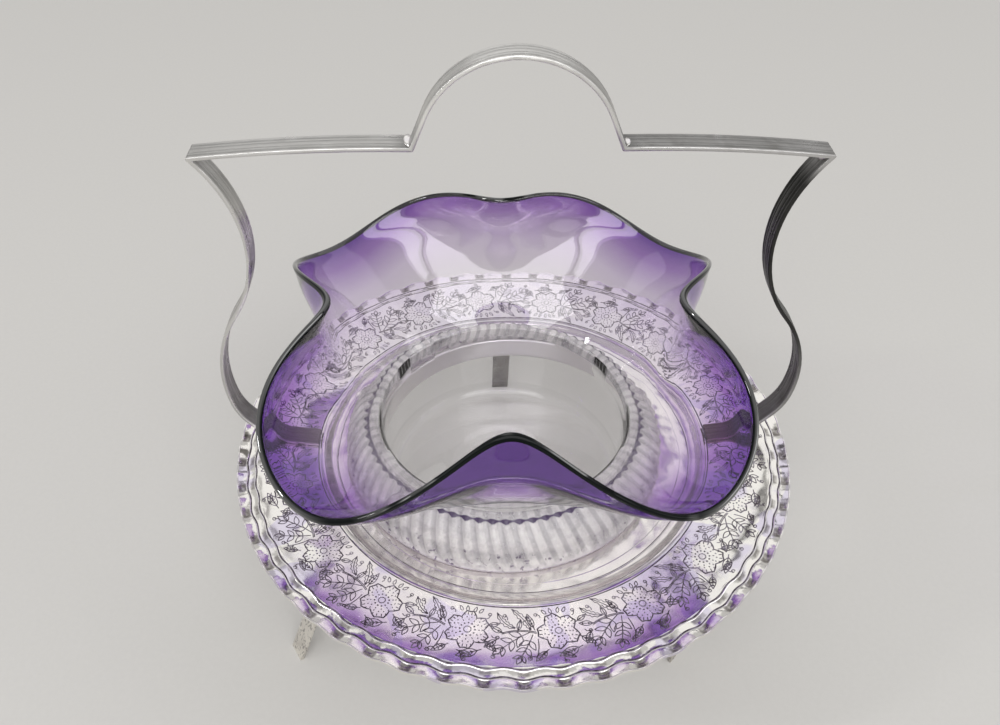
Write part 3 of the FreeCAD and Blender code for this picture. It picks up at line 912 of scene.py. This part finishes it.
class Sprig:
    """Collects the strokes of one repeat of the chased band.

    Across is along the band, out is away from the ring line, both in millimetres.
    """

    def __init__(self, rng):
        self.lines = []
        self.rng = rng

    def stroke(self, points, closed=False):
        """Adds a line of points."""
        self.lines.append((points, closed))

    def spot(self, across, out, size=0.5):
        """Two short strokes side by side, which read as a dot."""
        for offset in (-0.1, 0.1):
            self.stroke([(across - size / 2, out + offset), (across + size / 2, out + offset)])

    def curve(self, start, bend, end, count=6):
        """Stroke from start to end, drawn towards bend half way."""
        points = []
        for step in range(count + 1):
            share = step / count
            rest = 1 - share
            points.append(tuple(rest * rest * start[axis] + 2 * rest * share * bend[axis]
                                + share * share * end[axis] for axis in (0, 1)))
        self.stroke(points)
        return points

    def flower(self, across, out, size, petals=6):
        """Scalloped petals round a dotted middle."""
        turn = self.rng.uniform(0, FULL_TURN / petals)

        def spot(radius, angle):
            return (across + radius * cos(angle + turn),
                    out + radius * sin(angle + turn))

        outline = []
        steps = 6
        for petal in range(petals):
            for step in range(steps):
                share = step / steps
                swell = sin(pi * share) ** 0.6
                ruffle = 0.035 * cos(FULL_TURN * share * 3)
                radius = size * (0.70 + 0.30 * swell + ruffle)
                outline.append(spot(radius, FULL_TURN * (petal + share) / petals))
            for side in (-0.28, -0.1, 0.1, 0.28):
                angle = FULL_TURN * (petal + 0.5 + side) / petals
                self.stroke([spot(size * 0.78, angle), spot(size * 0.92, angle)])
        self.stroke(outline, True)
        self.stroke([(across + 0.97 * (x - across), out + 0.97 * (y - out))
                     for x, y in outline], True)
        self.stroke([spot(size * 0.17, FULL_TURN * step / 8) for step in range(8)], True)
        for step in range(12):
            angle = FULL_TURN * step / 12
            self.spot(*spot(size * 0.34, angle))
            self.stroke([spot(size * 0.48, angle), spot(size * 0.56, angle)])
        for step in range(18):
            self.spot(*spot(size * 0.66, FULL_TURN * step / 18), size=0.3)

    def leaf(self, across, out, heading, length, width, hatches=3):
        """Pointed leaf with a midrib and short hatches."""
        along = (cos(heading), sin(heading))
        side = (-along[1], along[0])

        def spot(share, offset):
            return (across + along[0] * length * share + side[0] * offset,
                    out + along[1] * length * share + side[1] * offset)

        for sign in (-1, 1):
            self.stroke([spot(share, sign * width * sin(pi * share ** 0.8) / 2)
                         for share in (0, 0.2, 0.4, 0.6, 0.8, 0.92, 1)])
        if hatches:
            self.stroke([spot(-0.2, 0), spot(0.8, 0)])
        for number in range(hatches):
            share = 0.2 + 0.5 * number / max(hatches - 1, 1)
            reach = width * 0.32 * sin(pi * share)
            self.stroke([spot(share, 0), spot(share + 0.12, reach)])
            self.stroke([spot(share, 0), spot(share + 0.12, -reach)])

    def spray(self, points, size):
        """Feathery spray: open leaflets in pairs along a stem and one at its tip."""
        count = len(points)
        for number in range(1, count):
            here, there = points[number - 1], points[number]
            heading = atan2(there[1] - here[1], there[0] - here[0])
            scale = size * (1 - 0.45 * number / count)
            for sign in (-1, 1):
                self.leaf(there[0], there[1], heading + sign * 0.8, scale, scale * 0.45, 0)
        self.leaf(there[0], there[1], heading, size * 0.8, size * 0.36, 0)

    def plume(self, start, bend, end, width, count=6):
        """Long curved leaf with a toothed outer side."""
        spine = self.curve(start, bend, end, 2 * count)
        sides = {-1: [], 1: []}
        for number in range(2 * count):
            here, there = spine[number], spine[number + 1]
            heading = atan2(there[1] - here[1], there[0] - here[0])
            swell = width * sin(pi * (number + 0.5) / (2 * count + 1)) ** 0.8
            swell *= 0.55 if number % 2 else 1.0
            for sign, side in sides.items():
                side.append((here[0] - sign * swell * sin(heading) * 0.6,
                             here[1] + sign * swell * cos(heading) * 0.6))
        for side in sides.values():
            self.stroke([spine[0]] + side + [spine[-1]])

    def bud(self, across, out, heading):
        """Small ball on a curled stalk."""
        tip = (across + 1.9 * cos(heading), out + 1.9 * sin(heading))
        bend = (across + 1.4 * cos(heading + 0.8), out + 1.4 * sin(heading + 0.8))
        self.curve((across, out), bend, tip, 3)
        ring = [(tip[0] + 0.55 * cos(FULL_TURN * step / 8),
                 tip[1] + 0.55 * sin(FULL_TURN * step / 8)) for step in range(8)]
        self.stroke(ring, True)


def draw_sprig(rng):
    """One repeat of the band: a flower, the stem to the next one, leaves, sprays and buds."""
    sprig = Sprig(rng)

    def near(number, spread=0.25):
        return number + rng.uniform(-spread, spread)

    sprig.flower(near(0, 0.4), near(9.6, 0.4), near(6.7, 0.3), rng.choice((5, 6, 6)))
    for across, heading in ((-2.8, -2.3), (-1.1, -1.8), (1.1, -1.3), (2.8, -0.9)):
        sprig.leaf(across, 2.8, heading, 2.2, 1.0, 0)
    for offset in (0.0, 0.45):
        sprig.curve((-17.5, 9.4 + offset), (-12.0, 7.2 + offset), (-6.8, 9.2 + offset), 7)
    sprig.plume((-8.6, 8.2), (-9.6, 4.4), (-14.6, near(0.6, 0.3)), 2.1)
    sprig.plume((-13.4, 7.4), (-17.0, 6.6), (-19.4, near(2.4, 0.5)), 1.9, 5)
    sprig.leaf(-7.6, 7.4, near(-1.9), 5.4, 1.9, 3)
    sprig.leaf(-17.4, 9.2, near(-2.9), 4.2, 1.8, 2)
    sprig.spray(sprig.curve((-9.0, 9.2), (-12.6, 10.6), (-16.8, near(14.6)), 3), 4.8)
    sprig.spray(sprig.curve((-8.0, 10.0), (-9.4, 13.4), (-11.6, near(17.6)), 3), 4.0)
    for across, out, heading, length, width, hatches in (
            (-4.6, 16.2, 2.4, 4.6, 2.0, 3), (4.4, 16.4, 2.75, 6.2, 2.8, 4),
            (6.2, 12.8, 0.75, 4.8, 2.2, 3), (6.6, 7.0, -0.5, 3.6, 1.6, 2),
            (-12.4, 8.2, -1.35, 4.0, 1.5, 2), (-19.0, 12.0, 2.2, 4.4, 1.9, 3),
            (-0.6, 17.4, 0.3, 4.0, 1.7, 2)):
        sprig.leaf(across, out, near(heading), length, width, hatches)
    sprig.curve((-6.6, 11.6), (-6.4, 15.0), (-7.6, 18.4), 4)
    for across, out, heading in ((-10.8, 5.0, -0.6), (-15.8, 4.6, -1.9), (-5.0, 4.0, -2.2),
                                 (-7.0, 16.4, 0.6), (-7.6, 18.0, 2.6), (-17.8, 17.0, 2.4),
                                 (5.6, 4.6, -0.9), (7.8, 10.6, 0.1), (0.2, 18.4, 1.2)):
        sprig.bud(across, out, near(heading, 0.4))
    return sprig.lines


def chase_band(settings):
    """The chased band round the flange, drawn flat and then laid round the plate."""
    pitch = FULL_TURN * BAND_MIDDLE / BAND_REPEATS
    rng = random.Random(BAND_SEED)
    lines = []
    for repeat in range(BAND_REPEATS):
        offset = repeat * pitch
        for points, closed in draw_sprig(rng):
            lines.append(([(across + offset, out) for across, out in points], closed))
    bm = tubes(lines, settings.line_width)
    for vert in bm.verts:
        across, out, lift = vert.co
        radius = min(BAND_FOOT + max(out, 0), FLANGE_RADIUS)
        vert.co = flange_point(radius, BAND_TURN + across / BAND_MIDDLE, lift * BAND_FLATNESS)
    bmesh.ops.recalc_face_normals(bm, faces=bm.faces[:])
    return bm


def round_line(radius, width):
    """A line all round the plate, which follows the crimps."""
    steps = CRIMPS * 10
    length = FULL_TURN * radius
    bm = tubes([([(length * step / steps, 0.0) for step in range(steps + 1)], False)], width)
    for vert in bm.verts:
        across, out, height = vert.co
        angle = across / radius
        wobble = 0.3 * cos(CRIMPS * angle) if 99 > radius > FLANGE_RADIUS else 0.0
        vert.co = flange_point(radius + out + wobble, angle, LINE_LIFT + height * LINE_FLATNESS)
    seal(bm, 0.005)
    return bm


# Operators

class DISH_OT_plate(bpy.types.Operator):
    """Spin the plate and crimp its border"""
    bl_idname = "dish.plate"
    bl_label = "Plate"

    def execute(self, context):
        silver = silver_plate(context.scene.dish_silver)
        finish_piece("plate_silver", spin_plate(), [silver], "stand", ["plate"])
        return {"FINISHED"}


class DISH_OT_chasing(bpy.types.Operator):
    """Chase the flowers on the flange and the lines round the border"""
    bl_idname = "dish.chasing"
    bl_label = "Chased work"

    def execute(self, context):
        settings = context.scene.dish_silver
        dark, bright = cut_line_and_shadow(settings), bright_line(settings)
        finish_piece("chased_band", chase_band(settings), [dark], "stand")
        rounds = (("ring_line_outer", 71.5, 0.42, dark), ("ring_line_inner", 69.4, 0.4, dark),
                  # Painted highlights along the well, and a painted shadow line in the well.
                  ("well_highlight_outer", 65.2, 0.3, bright), ("well_highlight_inner", 61.6, 0.3, bright),
                  ("well_shadow", 64.8, 0.25, dark),
                  ("border_line_inner", INNER_LINE_RADIUS, 0.5, dark),
                  ("border_line_middle", MIDDLE_LINE_RADIUS, 0.5, dark),
                  ("edge_line", 99.7, 0.4, bright),
                  # Raised lips beside the border lines, whose brightness is a painted highlight.
                  ("border_lip_highlight_inner", INNER_LINE_RADIUS + LIP_OFFSET, 0.36, bright),
                  ("border_lip_highlight_middle", MIDDLE_LINE_RADIUS + LIP_OFFSET, 0.36, bright))
        for name, radius, width, material in rounds:
            finish_piece(name, round_line(radius, width), [material], "stand")
        return {"FINISHED"}


class DISH_OT_straps(bpy.types.Operator):
    """Make the handle and the legs from flat strap"""
    bl_idname = "dish.straps"
    bl_label = "Handle and legs"

    def execute(self, context):
        settings = context.scene.dish_silver
        handle = strap_from("handle", 0, REED_HEIGHT, HANDLE_END_RADIUS)
        finish_piece("handle_strap", handle, [strap_silver(settings)], "stand",
                     ["handle"])
        finish_piece("solder_beads", solder_beads(), [bright_line(settings)], "stand")
        worn = leg_silver(settings)
        for node, azimuth in LEG_AZIMUTHS.items():
            finish_piece(node + "_strap", strap_from(node, azimuth, 0.0), [worn], "stand",
                         [node])
        return {"FINISHED"}


class DISH_OT_glass(bpy.types.Operator):
    """Blow the bowl and fuse the pleated frill round its neck"""
    bl_idname = "dish.glass"
    bl_label = "Glass bowl and frill"

    def execute(self, context):
        settings = context.scene.dish_glass
        finish_piece("bowl_glass", blow_bowl(settings),
                     [amethyst_glass(settings), rim_glass(settings)], "glass",
                     ["glass_bowl"])
        finish_piece("frill_glass", pleat_frill(settings.pleats), [clear_glass(settings)],
                     "glass", ["glass_frill"])
        return {"FINISHED"}


class DISH_OT_stage(bpy.types.Operator):
    """Lay the floor, hang the lamps and set the camera"""
    bl_idname = "dish.stage"
    bl_label = "Stage"

    def execute(self, context):
        settings = context.scene.dish_stage
        lay_floor(settings)
        hang_lamps(context)
        set_camera(context, settings)
        return {"FINISHED"}


def lay_floor(settings):
    """A round sheet of pale paper."""
    bm = bmesh.new()
    bmesh.ops.create_circle(bm, cap_ends=True, segments=96, radius=FLOOR_RADIUS)
    mesh = bpy.data.meshes.new("floor")
    bm.to_mesh(mesh)
    bm.free()
    finish = Finish("floor_paper")
    grain = finish.noise(finish.place(), 0.5, 4.0, 0.7)
    colour = finish.mix(grain.ramp(0.3, 0.7) * 0.25, settings.floor, (0.55, 0.54, 0.52))
    mesh.materials.append(finish.close(finish.surface(
        {"Base Color": colour, "Roughness": 0.9, "Specular IOR Level": 0.1})))
    floor = add_object("floor", mesh)


def hang_lamps(context):
    """Windows behind the camera and to the right, a gap of sky and a pale wall beyond."""
    for name, place, sides, power in LAMPS:
        light = bpy.data.lights.new(name, "AREA")
        light.shape = "RECTANGLE"
        light.size, light.size_y = sides
        light.energy = power
        holder = add_object(name, light)
        holder.location = place
        aim = (Vector(LAMP_TARGET) - Vector(place)).to_track_quat("-Z", "Y")
        holder.rotation_euler = aim.to_euler()
    world = bpy.data.worlds.new("room")
    world.use_nodes = True
    background = world.node_tree.nodes["Background"]
    background.inputs["Color"].default_value = (*ROOM_COLOUR, 1)
    background.inputs["Strength"].default_value = ROOM_STRENGTH
    context.scene.world = world
    context.scene.view_settings.view_transform = "Standard"


def set_camera(context, settings):
    """The camera as solved from the photograph's perspective."""
    lens = bpy.data.cameras.new("camera")
    lens.sensor_width = SENSOR_WIDTH
    lens.sensor_fit = "HORIZONTAL"
    lens.lens = settings.lens
    lens.clip_start = 0.01
    camera = add_object("camera", lens)
    camera.location = CAMERA_PLACE
    camera.rotation_euler = [radians(angle) for angle in CAMERA_TURN]
    context.scene.camera = camera


class DISH_PT_panel(bpy.types.Panel):
    """Lists the steps that make the dish"""
    bl_idname = "DISH_PT_panel"
    bl_label = "Sweetmeat dish"
    bl_space_type = "VIEW_3D"
    bl_region_type = "UI"
    bl_category = "Dish"

    def draw(self, context):
        for step in STEPS:
            self.layout.operator(step.bl_idname)


GROUPS = {"dish_glass": DishGlass, "dish_silver": DishSilver, "dish_stage": DishStage}
STEPS = (DISH_OT_stage, DISH_OT_plate, DISH_OT_chasing, DISH_OT_straps, DISH_OT_glass)
CLASSES = tuple(GROUPS.values()) + STEPS + (DISH_PT_panel,)


def register():
    for item in CLASSES:
        bpy.utils.register_class(item)
    for name, group in GROUPS.items():
        setattr(bpy.types.Scene, name, bpy.props.PointerProperty(type=group))


def unregister():
    for name in GROUPS:
        delattr(bpy.types.Scene, name)
    for item in reversed(CLASSES):
        bpy.utils.unregister_class(item)


def main():
    register()
    bpy.ops.dish.stage()
    bpy.ops.dish.plate()
    bpy.ops.dish.chasing()
    bpy.ops.dish.straps()
    bpy.ops.dish.glass()


if __name__ == "__main__":
    main()
